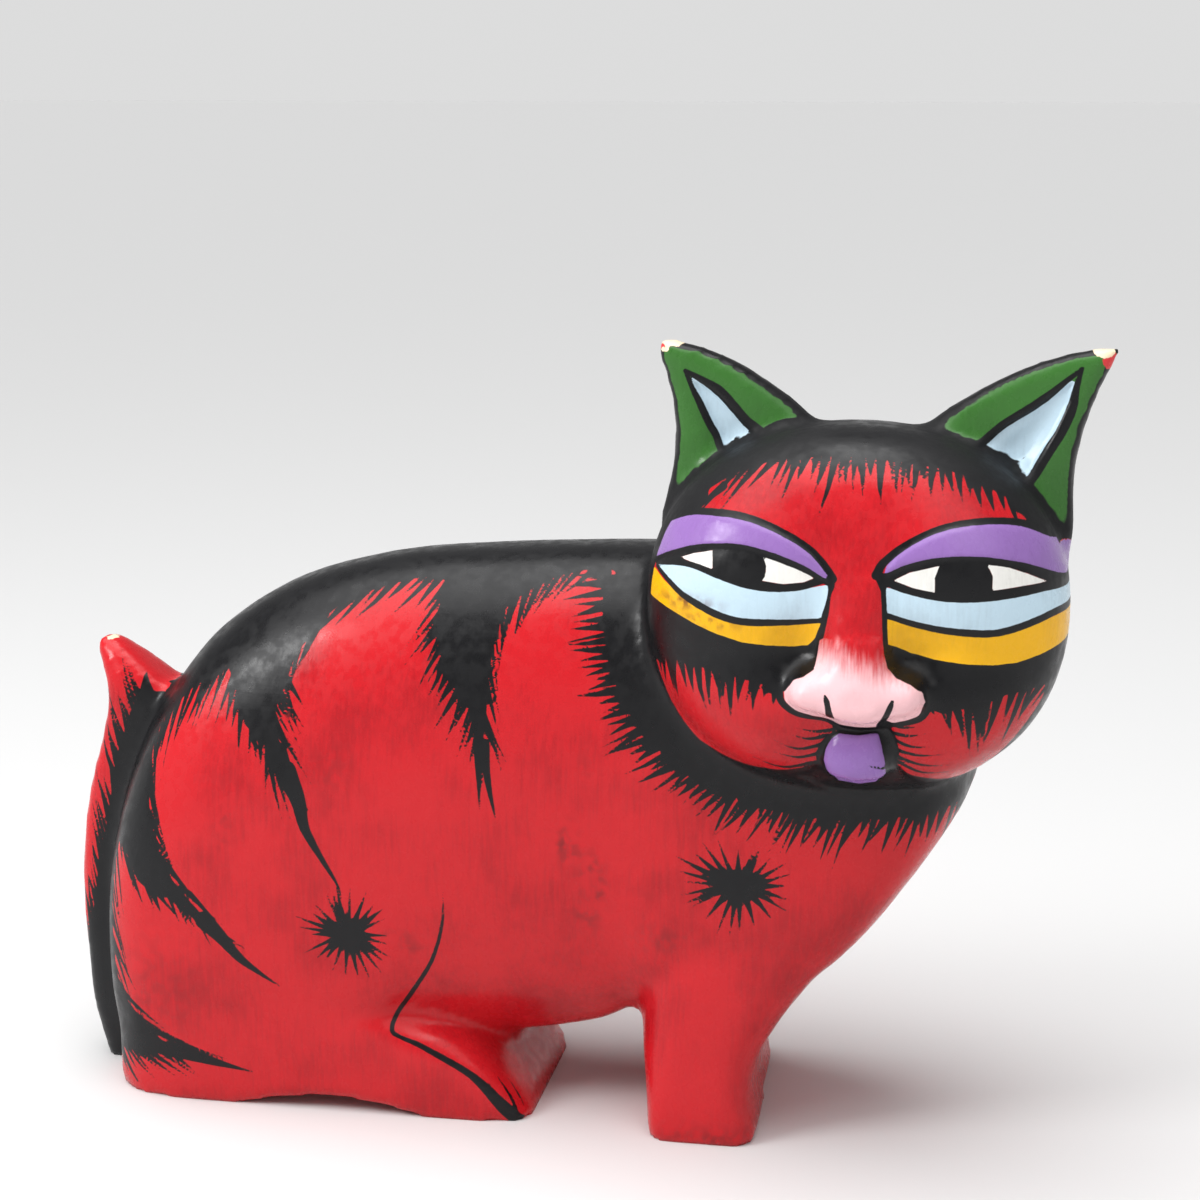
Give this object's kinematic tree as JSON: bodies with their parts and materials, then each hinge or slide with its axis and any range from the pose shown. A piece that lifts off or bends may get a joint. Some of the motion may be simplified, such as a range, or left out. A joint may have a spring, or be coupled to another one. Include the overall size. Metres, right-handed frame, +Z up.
{
  "type": "papier-mache cat ornament",
  "caption": "Standing papier-mache cat with its head turned to the side, a flat upright tail, pricked ears and a painted folk-art finish.",
  "frame": {"origin": "on the ground, under the middle of the cat's outer box", "axes": "+X from tail to chest along the body, +Y from the side the face looks out of to the far side, +Z up"},
  "size_m": [0.3838, 0.136, 0.2863],
  "materials": {
    "painted_paper": "hand-painted and varnished papier-mache: red body, black stripes, collar and spots, green ears, purple, blue and yellow round the eyes"
  },
  "bodies": {
    "root": {"papier_mache_cat": "painted_paper"}
  },
  "joints": []
}
